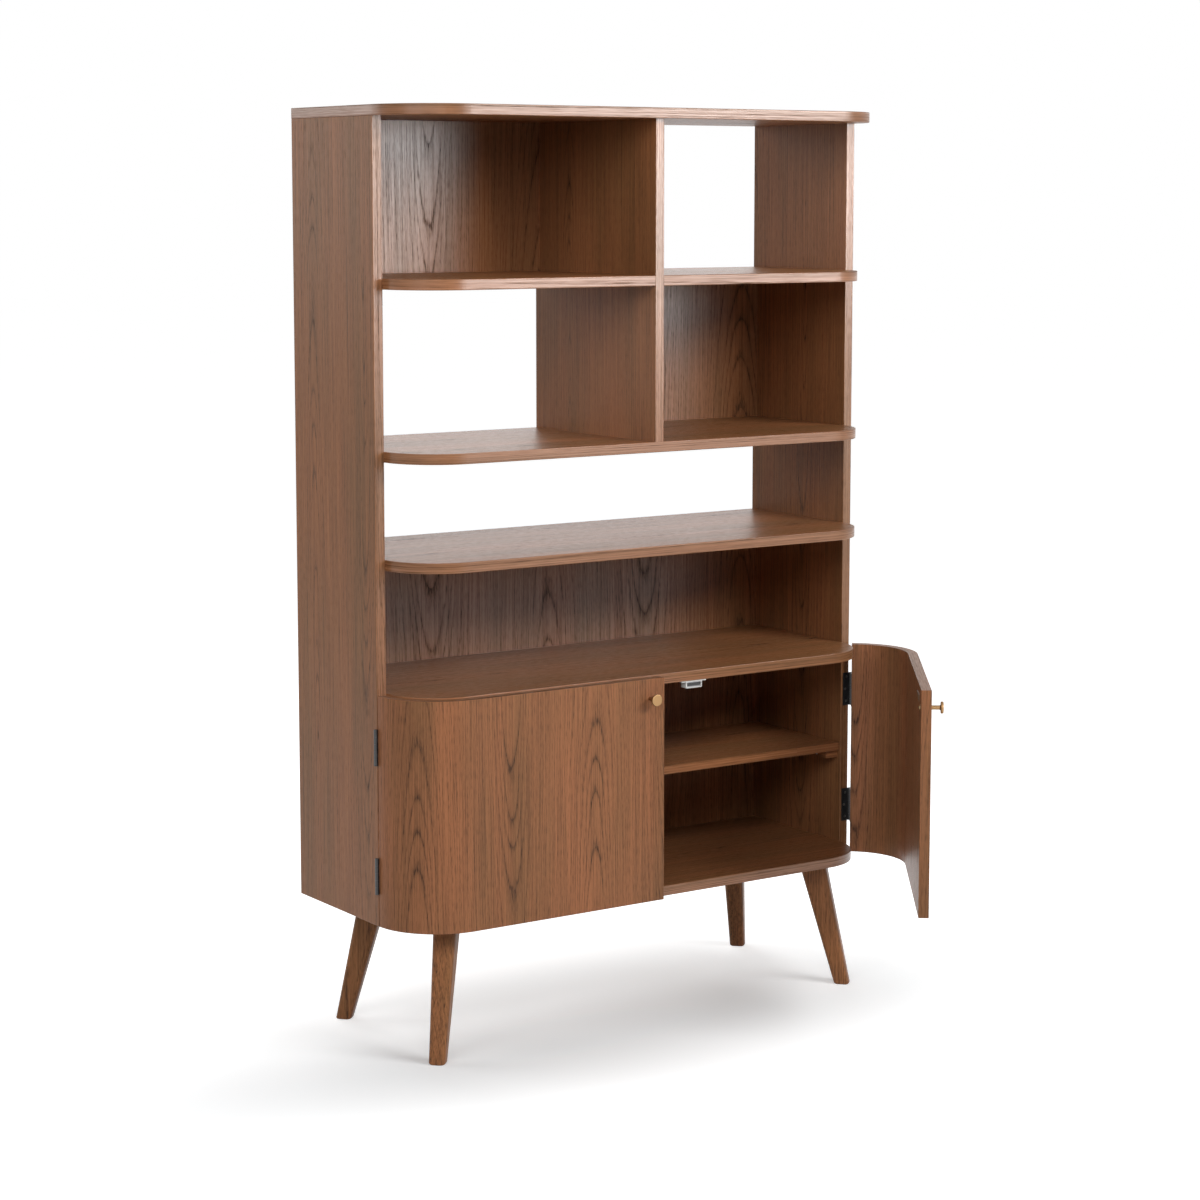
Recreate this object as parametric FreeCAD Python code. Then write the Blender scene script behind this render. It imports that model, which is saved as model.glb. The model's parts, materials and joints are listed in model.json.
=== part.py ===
# A free-standing bookcase with a two-door cabinet, in millimetres.
#
# +Z is up and the front faces -Y. The pieces are first built about the carcass: x = 0 is its middle,
# y = 0 is the front edge of the side panels and z = 0 is the floor. The boards and the doors stand
# forward of the side panels and turn their corners on quarter circles that start at y = 0.
# At the end everything is moved so that the origin is on the floor, under the middle of the space
# that the bookcase takes up with its right-hand door standing open.
import FreeCAD, Part
import math
import os

Vector = FreeCAD.Vector

# Carcass
overall_width = 1070.0
side_depth = 293.0
corner_radius = 125.0          # outer radius of the top board's and the doors' corners
side_thickness = 19.0
top_thickness = 19.0
shelf_thickness = 19.0
divider_thickness = 19.0
edge_ease = 1.0                # rounding of the edges that hands touch
leg_height = 243.0

# Clear heights, from the cabinet up to the top board
cabinet_height = 381.0
lower_bay_height = 219.0
narrow_bay_height = 172.0
lower_cell_height = 283.0
upper_cell_height = 281.0

# Back panels, each in a groove all round
panel_thickness = 6.0
panel_inset = 7.0              # from the rear edges of the boards to the panel
groove_depth = 6.0
groove_play = 0.1              # on each face of a panel
panel_edge_play = 0.5          # between a panel's edge and the floor of its groove

# Inner shelf and the cleats that carry it
inner_shelf_thickness = 16.0
inner_shelf_rise = 182.5       # from the cabinet floor to its underside
inner_shelf_setback = 4.0
inner_shelf_play = 1.0         # to the side panels and to the back panel
cleat_width = 28.0
cleat_height = 14.0
cleat_setback = 10.0
cleat_back_gap = 10.0

# Dowels
dowel_diameter = 8.0
dowel_play = 0.05              # glue line round a dowel
dowel_end_play = 1.0
dowel_shallow = 12.0           # how far a dowel goes in through a board's face
dowel_deep = 18.0              # how far it goes in through a board's end
dowel_margin = 40.0            # from the front and rear edges to the outer dowels
dowel_rows = 3

# Doors
door_thickness = 19.0
door_reveal = 1.0              # between the doors and the fronts of the cabinet's boards
door_meeting_gap = 2.0
door_top_drop = 2.5            # below the upper face of the cabinet's top board
right_door_rest_angle = 53.0   # how far the right-hand door stands open, in degrees

# Butt hinges
hinge_length = 65.0
hinge_end_distance = 92.0      # from a door's top or bottom to the middle of its hinge
leaf_width = 15.0
leaf_thickness = 1.2
leaf_clearance = 0.4           # between the two leaves of a closed hinge
knuckle_diameter = 7.0
knuckle_standoff = 0.4
knuckle_gap = 0.3
knuckle_count = 5
pin_diameter = 3.0
pin_play = 0.05
pin_overhang = 0.5
hinge_screw_spacing = 24.0
hinge_screw_margin = 7.0       # from the outer face to the end screws
hinge_screw_stagger = 2.5      # the middle screw stands further in

# Wood screws
screw_play = 0.05
screw_tip = 3.0
screw_end_play = 0.5
recess_width = 0.7
hinge_screw_diameter = 3.0
hinge_screw_head = 5.4
hinge_screw_length = 18.0
cleat_screw_diameter = 4.0
cleat_screw_head = 8.0
cleat_screw_grip = 13.0        # how far it goes into the side panel
cleat_screw_margin = 30.0
shelf_screw_diameter = 3.5
shelf_screw_head = 7.0
shelf_screw_grip = 10.0
shelf_screw_margin = 60.0

# Knobs and the screws that hold them from inside
knob_inset = 33.0              # from the middle of the bookcase
knob_drop = 36.5               # below a door's top edge
knob_disc_diameter = 22.0
knob_disc_thickness = 5.0
knob_stem_diameter = 8.0
knob_projection = 23.0
knob_neck_radius = 2.5
knob_edge_radius = 1.2
knob_screw_diameter = 4.0
knob_screw_grip = 10.0
knob_screw_head = 8.0
knob_screw_head_height = 2.4
knob_hole_play = 0.25

# Magnetic catches under the cabinet's top board
catch_offset = 81.0            # from the middle of the bookcase
catch_width = 36.0
catch_height = 14.0
catch_depth = 16.0
catch_wall = 2.0
catch_round = 1.5
ear_length = 10.0
ear_thickness = 2.2
ear_slot_width = 3.4
ear_slot_length = 7.0
pole_thickness = 1.5
pole_protrusion = 0.6
pole_play = 0.2
magnet_recess = 1.4
catch_air_gap = 0.4            # between the pole plates and the strike plate of a closed door
catch_screw_diameter = 2.9
catch_screw_head = 5.6
catch_screw_head_height = 1.9
catch_screw_grip = 12.0

# Strike plates on the doors
strike_length = 52.0
strike_height = 12.0
strike_thickness = 1.2
strike_screw_spacing = 40.0
strike_screw_diameter = 3.0
strike_screw_head = 5.4
strike_screw_length = 12.0

# Legs, which splay towards the corners
leg_top_radial = 52.0          # section along the line from the middle of the bookcase
leg_top_tangential = 43.0
leg_top_round = 12.0
leg_foot_radial = 30.0
leg_foot_tangential = 30.0
leg_foot_round = 9.0
leg_foot_ease = 2.0
leg_inset_side = 118.0         # from the outer face of the side panel to the leg's top
leg_inset_front = 66.0
leg_inset_back = 71.0
leg_splay_x = 45.0
leg_splay_y = 40.0
stud_diameter = 8.0
stud_in_leg = 40.0
nut_diameter = 12.0
nut_length = 14.0
nut_end_play = 0.5
leg_dowel_offset = 15.0        # from the stud, towards the middle of the bookcase
leg_dowel_in_leg = 14.0
leg_dowel_in_board = 10.0

# Places that follow from the sizes
half_width = overall_width / 2
inner_half = half_width - side_thickness
corner_centre_x = half_width - corner_radius
door_inner_radius = corner_radius - door_thickness
board_radius = door_inner_radius - door_reveal
front_y = -board_radius
panel_front_y = side_depth - panel_inset - panel_thickness
carcass_bottom = leg_height
cabinet_floor = carcass_bottom + shelf_thickness
cabinet_ceiling = cabinet_floor + cabinet_height
lower_bay_floor = cabinet_ceiling + shelf_thickness
lower_bay_ceiling = lower_bay_floor + lower_bay_height
narrow_bay_floor = lower_bay_ceiling + shelf_thickness
narrow_bay_ceiling = narrow_bay_floor + narrow_bay_height
lower_cell_floor = narrow_bay_ceiling + shelf_thickness
lower_cell_ceiling = lower_cell_floor + lower_cell_height
upper_cell_floor = lower_cell_ceiling + shelf_thickness
upper_cell_ceiling = upper_cell_floor + upper_cell_height
inner_shelf_bottom = cabinet_floor + inner_shelf_rise
hinge_gap = 2 * leaf_thickness + leaf_clearance
pin_x = half_width + knuckle_standoff + knuckle_diameter / 2
pin_y = -hinge_gap / 2
door_bottom = carcass_bottom
door_top = lower_bay_floor - door_top_drop
hinge_levels = {"upper": door_top - hinge_end_distance, "lower": door_bottom + hinge_end_distance}
knob_level = door_top - knob_drop
strike_y = -door_inner_radius + strike_thickness
catch_front = strike_y + catch_air_gap + pole_protrusion
catch_middle = cabinet_ceiling - catch_height / 2
sides = {"left": -1, "right": 1}


def box(x_range, y_range, z_range):
    """A box between two values on each axis, given in either order."""
    low = Vector(min(x_range), min(y_range), min(z_range))
    high = Vector(max(x_range), max(y_range), max(z_range))
    size = high - low
    return Part.makeBox(size.x, size.y, size.z, low)


def rod(diameter, start, direction, length):
    return Part.makeCylinder(diameter / 2, length, start, direction)


def aimed(shape, start, direction):
    """The shape, made along +Z from the origin, moved to a start and turned to a direction."""
    placed = shape.copy()
    placed.Placement = FreeCAD.Placement(start, FreeCAD.Rotation(Vector(0, 0, 1), direction))
    return placed


def turned(points):
    """A solid turned about Z from an outline of (radius, height) points that starts on the axis."""
    outline = Part.makePolygon([Vector(radius, 0, height) for radius, height in points + points[:1]])
    return Part.Face(outline).revolve(Vector(0, 0, 0), Vector(0, 0, 1), 360)


def eased(solid, radius, wanted):
    """The solid with its wanted edges rounded; wanted looks at an edge's bounding box."""
    edges = [edge for edge in solid.Edges if wanted(edge.BoundBox)]
    return solid.makeFillet(radius, edges).Solids[0]


def lies_at(low, high, value):
    return abs(low - value) < 1e-3 and abs(high - value) < 1e-3


def crossed(head_diameter, depth):
    """The cross recess of a screw whose head starts at the origin and looks along -Z."""
    reach = 0.3 * head_diameter
    width = recess_width / 2
    first = box((-reach, reach), (-width, width), (0, depth))
    return first.fuse(box((-width, width), (-reach, reach), (0, depth)))


def countersunk_screw(diameter, head_diameter, length):
    """A screw along +Z with the flat of its head at the origin."""
    head_height = (head_diameter - diameter) / 2
    outline = [(0, 0), (head_diameter / 2, 0), (diameter / 2, head_height),
               (diameter / 2, length - screw_tip), (0, length)]
    return turned(outline).cut(crossed(head_diameter, 0.75 * head_height))


def countersink(diameter, head_diameter, length):
    """The hole for a countersunk screw, wider than the screw by its play."""
    wide = head_diameter / 2 + screw_play
    narrow = diameter / 2 + screw_play
    depth = wide - narrow
    end = length + screw_end_play
    return turned([(0, 0), (wide, 0), (narrow, depth), (narrow, end), (0, end)])


def pan_screw(diameter, head_diameter, head_height, length, tip):
    """A screw along +Z whose head stands outside, its underside at the origin."""
    outline = [(0, -head_height), (0.3 * head_diameter, -head_height),
               (head_diameter / 2, -0.45 * head_height), (head_diameter / 2, 0), (diameter / 2, 0),
               (diameter / 2, length - tip), (diameter / 5, length), (0, length)]
    recess = crossed(head_diameter, 0.6 * head_height)
    recess.translate(Vector(0, 0, -head_height))
    return turned(outline).cut(recess)


def spread(first, last, count):
    step = (last - first) / (count - 1)
    return [first + step * index for index in range(count)]


def rounded_board(half_body, half_front, radius, bottom, thickness):
    """A board whose front corners turn on quarter circles that start beside the side panels."""
    centre_x = half_front - radius
    slant = radius * math.sqrt(0.5)
    corners = [Vector(-half_body, side_depth, 0), Vector(-half_body, 0, 0)]
    if half_front < half_body:
        corners.append(Vector(-half_front, 0, 0))
    mirrored = [Vector(-corner.x, corner.y, 0) for corner in reversed(corners)]
    left_end = Vector(-centre_x, -radius, 0)
    right_end = Vector(centre_x, -radius, 0)
    left_arc = Part.Arc(corners[-1], Vector(-centre_x - slant, -slant, 0), left_end).toShape()
    right_arc = Part.Arc(right_end, Vector(centre_x + slant, -slant, 0), mirrored[0]).toShape()
    edges = [Part.makeLine(start, end) for start, end in zip(corners, corners[1:])]
    edges += [left_arc, Part.makeLine(left_end, right_end), right_arc]
    edges += [Part.makeLine(start, end) for start, end in zip(mirrored, mirrored[1:])]
    edges.append(Part.makeLine(mirrored[-1], corners[0]))
    board = Part.Face(Part.Wire(edges)).extrude(Vector(0, 0, thickness))
    board.translate(Vector(0, 0, bottom))

    def front_edge(bounds):
        level = any(lies_at(bounds.ZMin, bounds.ZMax, height) for height in (bottom, bottom + thickness))
        return level and bounds.YMin < -radius + 1 and bounds.YMax < 1
    return eased(board, edge_ease, front_edge)


def shelf(floor_above):
    """A full-width board whose upper face is the floor of the space above it."""
    bottom = floor_above - shelf_thickness
    return rounded_board(inner_half, corner_centre_x + board_radius, board_radius, bottom, shelf_thickness)


def make_boards():
    shelf_half = box((-inner_half, -divider_thickness / 2), (-corner_radius, side_depth),
                     (lower_cell_ceiling, upper_cell_floor))
    upper_shelf = shelf(upper_cell_floor)
    boards = {
        "top_board": rounded_board(half_width, half_width, corner_radius, upper_cell_ceiling, top_thickness),
        "upper_shelf_left": upper_shelf.common(shelf_half),
        "upper_shelf_right": upper_shelf.common(shelf_half.mirror(Vector(0, 0, 0), Vector(1, 0, 0))),
        "middle_shelf": shelf(lower_cell_floor),
        "lower_shelf": shelf(narrow_bay_floor),
        "cabinet_top_board": shelf(lower_bay_floor),
        "cabinet_bottom_board": shelf(cabinet_floor),
    }
    for name, side in sides.items():
        panel = box((side * half_width, side * inner_half), (0, side_depth),
                    (carcass_bottom, upper_cell_ceiling))
        boards[name + "_side_panel"] = eased(
            panel, edge_ease,
            lambda bounds: lies_at(bounds.XMin, bounds.XMax, side * half_width)
            or (lies_at(bounds.YMin, bounds.YMax, 0) and bounds.ZLength > leg_height))
    divider = box((-divider_thickness / 2, divider_thickness / 2), (front_y, side_depth),
                  (lower_cell_floor, upper_cell_ceiling))
    boards["centre_divider"] = eased(
        divider, edge_ease,
        lambda bounds: lies_at(bounds.YMin, bounds.YMax, front_y) and bounds.ZLength > divider_thickness)
    inner_shelf = box((inner_shelf_play - inner_half, inner_half - inner_shelf_play),
                      (inner_shelf_setback, panel_front_y - inner_shelf_play),
                      (inner_shelf_bottom, inner_shelf_bottom + inner_shelf_thickness))
    boards["cabinet_inner_shelf"] = eased(
        inner_shelf, edge_ease,
        lambda bounds: lies_at(bounds.YMin, bounds.YMax, inner_shelf_setback) and bounds.XLength > half_width)
    return boards


def fit_back_panels(boards):
    """Adds the four back panels and cuts their grooves."""
    divider_face = divider_thickness / 2
    spaces = {
        "upper_left_back_panel": (
            (-inner_half, -divider_face), (upper_cell_floor, upper_cell_ceiling),
            ("left_side_panel", "centre_divider", "upper_shelf_left", "top_board")),
        "middle_right_back_panel": (
            (divider_face, inner_half), (lower_cell_floor, lower_cell_ceiling),
            ("right_side_panel", "centre_divider", "upper_shelf_right", "middle_shelf")),
        "lower_bay_back_panel": (
            (-inner_half, inner_half), (lower_bay_floor, lower_bay_ceiling),
            ("left_side_panel", "right_side_panel", "lower_shelf", "cabinet_top_board")),
        "cabinet_back_panel": (
            (-inner_half, inner_half), (cabinet_floor, cabinet_ceiling),
            ("left_side_panel", "right_side_panel", "cabinet_top_board", "cabinet_bottom_board")),
    }

    def slab(across, up, reach, play):
        return box((across[0] - reach, across[1] + reach),
                   (panel_front_y - play, panel_front_y + panel_thickness + play),
                   (up[0] - reach, up[1] + reach))
    for name, (across, up, neighbours) in spaces.items():
        groove = slab(across, up, groove_depth, groove_play)
        for neighbour in neighbours:
            boards[neighbour] = boards[neighbour].cut(groove)
        boards[name] = slab(across, up, groove_depth - panel_edge_play, 0)


def fit_dowel(boards, start, direction, depths, names):
    """One dowel across a joint: start is on the joint, and depths reach back and forward from it."""
    back, forward = depths
    hole_back = 0 if back == 0 else back + dowel_end_play
    hole = rod(dowel_diameter + 2 * dowel_play, start - direction * hole_back, direction,
               hole_back + forward + dowel_end_play)
    for name in names:
        boards[name] = boards[name].cut(hole)
    return rod(dowel_diameter, start - direction * back, direction, back + forward)


def make_dowels(boards):
    rows = spread(dowel_margin, side_depth - dowel_margin, dowel_rows)
    along = Vector(1, 0, 0)
    up = Vector(0, 0, 1)
    ends = {
        "cabinet_bottom_board": (cabinet_floor, ("left", "right")),
        "cabinet_top_board": (lower_bay_floor, ("left", "right")),
        "lower_shelf": (narrow_bay_floor, ("left", "right")),
        "middle_shelf": (lower_cell_floor, ("left", "right")),
        "upper_shelf_left": (upper_cell_floor, ("left",)),
        "upper_shelf_right": (upper_cell_floor, ("right",)),
    }
    shelf_dowels = []
    for board, (floor_above, ends_at) in ends.items():
        for end in ends_at:
            for y in rows:
                start = Vector(sides[end] * inner_half, y, floor_above - shelf_thickness / 2)
                shelf_dowels.append(fit_dowel(boards, start, along * -sides[end],
                                              (dowel_shallow, dowel_deep), (board, end + "_side_panel")))
    top_dowels = []
    for end, side in sides.items():
        for y in rows:
            start = Vector(side * (half_width - side_thickness / 2), y, upper_cell_ceiling)
            top_dowels.append(fit_dowel(boards, start, up, (dowel_deep, dowel_shallow),
                                        ("top_board", end + "_side_panel")))
    divider_dowels = []
    reach = divider_thickness / 2 + dowel_deep
    for y in rows:
        middle = upper_cell_floor - shelf_thickness / 2
        divider_dowels.append(fit_dowel(boards, Vector(0, y, upper_cell_ceiling), up,
                                        (dowel_deep, dowel_shallow), ("top_board", "centre_divider")))
        divider_dowels.append(fit_dowel(boards, Vector(0, y, lower_cell_floor), up,
                                        (dowel_shallow, dowel_deep), ("middle_shelf", "centre_divider")))
        divider_dowels.append(fit_dowel(boards, Vector(0, y, middle), along, (reach, reach),
                                        ("upper_shelf_left", "upper_shelf_right", "centre_divider")))
    return {
        "shelf_dowels": Part.Compound(shelf_dowels),
        "top_board_dowels": Part.Compound(top_dowels),
        "divider_dowels": Part.Compound(divider_dowels),
    }


def screw_in(solids, nodes, screw, hole, start, direction):
    """Cuts a screw's hole in the named solids and returns the screw in its place."""
    for node in nodes:
        solids[node] = solids[node].cut(aimed(hole, start, direction))
    return aimed(screw, start, direction)


def make_cleats(solids):
    """The two cleats, the screws that hold them, and those that hold the inner shelf to them."""
    back = panel_front_y - cleat_back_gap
    top = inner_shelf_bottom
    inner_face = inner_half - cleat_width
    across_length = cleat_width + cleat_screw_grip
    across_screw = countersunk_screw(cleat_screw_diameter, cleat_screw_head, across_length)
    across_hole = countersink(cleat_screw_diameter, cleat_screw_head, across_length)
    up_length = cleat_height + shelf_screw_grip
    up_screw = countersunk_screw(shelf_screw_diameter, shelf_screw_head, up_length)
    up_hole = countersink(shelf_screw_diameter, shelf_screw_head, up_length)
    cleat_screws = []
    shelf_screws = []
    for name, side in sides.items():
        cleat = name + "_shelf_cleat"
        solids[cleat] = box((side * inner_face, side * inner_half), (cleat_setback, back),
                            (top - cleat_height, top))
        for y in spread(cleat_setback + cleat_screw_margin, back - cleat_screw_margin, 3):
            start = Vector(side * inner_face, y, top - cleat_height / 2)
            cleat_screws.append(screw_in(solids, (cleat, name + "_side_panel"), across_screw, across_hole,
                                         start, Vector(side, 0, 0)))
        for y in (cleat_setback + shelf_screw_margin, back - shelf_screw_margin):
            start = Vector(side * (inner_half - cleat_width / 2), y, top - cleat_height)
            shelf_screws.append(screw_in(solids, (cleat, "cabinet_inner_shelf"), up_screw, up_hole,
                                         start, Vector(0, 0, 1)))
    solids["cleat_screws"] = Part.Compound(cleat_screws)
    solids["inner_shelf_screws"] = Part.Compound(shelf_screws)


def make_door(side):
    """A closed door: flat in front, and bent round the corner to its hinged edge."""
    def on_arc(radius, y):
        return Vector(corner_centre_x + math.sqrt(radius * radius - y * y), y, 0)

    def arc(radius, start, end):
        slant = radius * math.sqrt(0.5)
        return Part.Arc(start, Vector(corner_centre_x + slant, -slant, 0), end).toShape()
    meeting_x = door_meeting_gap / 2
    outer_hinge = on_arc(corner_radius, -hinge_gap)
    inner_hinge = on_arc(door_inner_radius, -hinge_gap)
    outer_turn = Vector(corner_centre_x, -corner_radius, 0)
    inner_turn = Vector(corner_centre_x, -door_inner_radius, 0)
    outer_end = Vector(meeting_x, -corner_radius, 0)
    inner_end = Vector(meeting_x, -door_inner_radius, 0)
    outline = Part.Wire([
        arc(corner_radius, outer_hinge, outer_turn), Part.makeLine(outer_turn, outer_end),
        Part.makeLine(outer_end, inner_end), Part.makeLine(inner_end, inner_turn),
        arc(door_inner_radius, inner_turn, inner_hinge), Part.makeLine(inner_hinge, outer_hinge)])
    door = Part.Face(outline).extrude(Vector(0, 0, door_top - door_bottom))
    door.translate(Vector(0, 0, door_bottom))

    def free_edge(bounds):
        level = lies_at(bounds.ZMin, bounds.ZMax, door_bottom) or lies_at(bounds.ZMin, bounds.ZMax, door_top)
        upright = lies_at(bounds.XMin, bounds.XMax, meeting_x) and bounds.ZLength > door_thickness
        return upright or (level and not lies_at(bounds.YMin, bounds.YMax, -hinge_gap))
    door = eased(door, edge_ease, free_edge)
    return door if side > 0 else door.mirror(Vector(0, 0, 0), Vector(1, 0, 0))


def make_leaf(side, level, wood_y, outward, knuckles):
    """One leaf of a closed hinge, with its share of the knuckles.

    The leaf lies on the wood at wood_y and is leaf_thickness thick towards outward, which is -1 for
    the frame's leaf and 1 for the door's.
    """
    bottom = level - hinge_length / 2
    knuckle_length = (hinge_length - (knuckle_count - 1) * knuckle_gap) / knuckle_count
    thickness = (wood_y, wood_y + outward * leaf_thickness)
    leaf = box((side * (half_width - leaf_width), side * half_width), thickness,
               (bottom, bottom + hinge_length))
    axis = Vector(side * pin_x, pin_y, 0)
    for index in knuckles:
        low = bottom + index * (knuckle_length + knuckle_gap)
        heights = (low, low + knuckle_length)
        leaf = leaf.fuse(box((side * half_width, axis.x), thickness, heights))
        leaf = leaf.fuse(rod(knuckle_diameter, axis + Vector(0, 0, low), Vector(0, 0, 1), knuckle_length))
    bore = rod(pin_diameter + 2 * pin_play, axis + Vector(0, 0, bottom), Vector(0, 0, 1), hinge_length)
    return leaf.removeSplitter().cut(bore)


def make_hinges(solids):
    """Four butt hinges: leaves, pins, and the screws into the side panels and the doors."""
    screw = countersunk_screw(hinge_screw_diameter, hinge_screw_head, hinge_screw_length)
    hole = countersink(hinge_screw_diameter, hinge_screw_head, hinge_screw_length)
    pins = []
    for name, side in sides.items():
        screws = {"frame": [], "door": []}
        for place, level in hinge_levels.items():
            hinge = name + "_" + place + "_hinge_"
            solids[hinge + "frame_leaf"] = make_leaf(side, level, 0, -1, range(0, knuckle_count, 2))
            solids[hinge + "door_leaf"] = make_leaf(side, level, -hinge_gap, 1, range(1, knuckle_count, 2))
            pins.append(rod(pin_diameter,
                            Vector(side * pin_x, pin_y, level - hinge_length / 2 - pin_overhang),
                            Vector(0, 0, 1), hinge_length + 2 * pin_overhang))
            for step in (-1, 0, 1):
                inset = hinge_screw_margin + (hinge_screw_stagger if step == 0 else 0)
                spot = Vector(side * (half_width - inset), 0, level + step * hinge_screw_spacing)
                into_side = Vector(0, 1, 0)
                frame_nodes = (hinge + "frame_leaf", name + "_side_panel")
                door_nodes = (hinge + "door_leaf", name + "_door")
                screws["frame"].append(screw_in(solids, frame_nodes, screw, hole,
                                                spot - into_side * leaf_thickness, into_side))
                screws["door"].append(screw_in(solids, door_nodes, screw, hole,
                                               spot - into_side * (hinge_gap - leaf_thickness), -into_side))
        for part, made in screws.items():
            solids[name + "_hinge_" + part + "_screws"] = Part.Compound(made)
    solids["hinge_pins"] = Part.Compound(pins)


def make_knob():
    """A turned knob along +Z, from the door's face outwards, with a threaded hole in its foot."""
    stem = knob_stem_diameter / 2
    disc = knob_disc_diameter / 2
    under = knob_projection - knob_disc_thickness
    neck = stem + knob_neck_radius
    round_off = knob_edge_radius
    slant = 1 - math.sqrt(0.5)

    def at(radius, height):
        return Vector(radius, 0, height)
    edges = [
        Part.makeLine(at(0, 0), at(stem, 0)),
        Part.makeLine(at(stem, 0), at(stem, under - knob_neck_radius)),
        Part.Arc(at(stem, under - knob_neck_radius),
                 at(stem + slant * knob_neck_radius, under - slant * knob_neck_radius),
                 at(neck, under)).toShape(),
        Part.makeLine(at(neck, under), at(disc - round_off, under)),
        Part.Arc(at(disc - round_off, under), at(disc - slant * round_off, under + slant * round_off),
                 at(disc, under + round_off)).toShape(),
        Part.makeLine(at(disc, under + round_off), at(disc, knob_projection - round_off)),
        Part.Arc(at(disc, knob_projection - round_off),
                 at(disc - slant * round_off, knob_projection - slant * round_off),
                 at(disc - round_off, knob_projection)).toShape(),
        Part.makeLine(at(disc - round_off, knob_projection), at(0, knob_projection)),
        Part.makeLine(at(0, knob_projection), at(0, 0)),
    ]
    knob = Part.Face(Part.Wire(edges)).revolve(Vector(0, 0, 0), Vector(0, 0, 1), 360)
    thread = rod(knob_screw_diameter + 2 * screw_play, Vector(0, 0, 0), Vector(0, 0, 1),
                 knob_screw_grip + screw_end_play)
    return knob.cut(thread)


def make_knobs(solids):
    knob = make_knob()
    outward = Vector(0, -1, 0)
    screw = pan_screw(knob_screw_diameter, knob_screw_head, knob_screw_head_height,
                      door_thickness + knob_screw_grip, 0)
    hole = rod(knob_screw_diameter + 2 * knob_hole_play, Vector(0, 0, 0), Vector(0, 0, 1), door_thickness)
    for name, side in sides.items():
        inside = Vector(side * knob_inset, -door_inner_radius, knob_level)
        solids[name + "_knob"] = aimed(knob, inside + outward * door_thickness, outward)
        solids[name + "_knob_screw"] = screw_in(solids, (name + "_door",), screw, hole, inside, outward)


def make_catches(solids):
    """Magnetic catches: a housing with two ears, a magnet between two pole plates, and screws."""
    half = catch_width / 2
    back = catch_front + catch_depth
    low = cabinet_ceiling - catch_height
    pocket_back = back - catch_wall
    shank = Vector(0, 0, 1)
    screw = pan_screw(catch_screw_diameter, catch_screw_head, catch_screw_head_height,
                      ear_thickness + catch_screw_grip, screw_tip)
    hole = rod(catch_screw_diameter + 2 * screw_play, Vector(0, 0, ear_thickness), shank,
               catch_screw_grip + screw_end_play)
    screws = []
    magnets = []
    poles = []
    for name, side in sides.items():
        x = side * catch_offset
        body = box((x - half, x + half), (catch_front, back), (low, cabinet_ceiling))
        body = eased(body, catch_round, lambda bounds: bounds.YLength > catch_depth - 1 and
                     lies_at(bounds.ZMin, bounds.ZMax, low))
        ears = box((x - half - ear_length, x + half + ear_length), (catch_front, back),
                   (cabinet_ceiling - ear_thickness, cabinet_ceiling))
        ears = eased(ears, catch_round, lambda bounds: bounds.ZLength > ear_thickness / 2)
        pocket = box((x - half + catch_wall, x + half - catch_wall), (catch_front, pocket_back),
                     (low + catch_wall, cabinet_ceiling - catch_wall))
        housing = body.fuse(ears).removeSplitter().cut(pocket)
        for end in (-1, 1):
            spot = Vector(x + end * (half + ear_length / 2), (catch_front + back) / 2,
                          cabinet_ceiling - ear_thickness)
            straight = (ear_slot_length - ear_slot_width) / 2
            slot = box((spot.x - ear_slot_width / 2, spot.x + ear_slot_width / 2),
                       (spot.y - straight, spot.y + straight), (spot.z, cabinet_ceiling))
            for rounded_end in (-straight, straight):
                slot = slot.fuse(rod(ear_slot_width, spot + Vector(0, rounded_end, 0), shank, ear_thickness))
            housing = housing.cut(slot)
            screws.append(screw_in(solids, ("cabinet_top_board",), screw, hole, spot, shank))
        solids[name + "_catch_housing"] = housing
        across = (x - half + catch_wall + pole_play, x + half - catch_wall - pole_play)
        pole_back = pocket_back - pole_play
        lower = low + catch_wall + pole_play
        upper = cabinet_ceiling - catch_wall - pole_play
        pole_depth = (catch_front - pole_protrusion, pole_back)
        poles.append(box(across, pole_depth, (lower, lower + pole_thickness)))
        poles.append(box(across, pole_depth, (upper - pole_thickness, upper)))
        magnets.append(box(across, (catch_front + magnet_recess, pole_back),
                           (lower + pole_thickness, upper - pole_thickness)))
    solids["catch_screws"] = Part.Compound(screws)
    solids["catch_magnets"] = Part.Compound(magnets)
    solids["catch_pole_plates"] = Part.Compound(poles)


def make_strikes(solids):
    """The steel plates on the doors that the catches hold."""
    screw = countersunk_screw(strike_screw_diameter, strike_screw_head, strike_screw_length)
    hole = countersink(strike_screw_diameter, strike_screw_head, strike_screw_length)
    into_door = Vector(0, -1, 0)
    for name, side in sides.items():
        x = side * catch_offset
        plate = box((x - strike_length / 2, x + strike_length / 2), (-door_inner_radius, strike_y),
                    (catch_middle - strike_height / 2, catch_middle + strike_height / 2))
        plate_node = name + "_strike_plate"
        solids[plate_node] = eased(plate, catch_round,
                                   lambda bounds: bounds.YLength > strike_thickness / 2)
        spots = [Vector(x + end * strike_screw_spacing / 2, strike_y, catch_middle) for end in (-1, 1)]
        solids[name + "_strike_screws"] = Part.Compound([
            screw_in(solids, (plate_node, name + "_door"), screw, hole, spot, into_door)
            for spot in spots])


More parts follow.
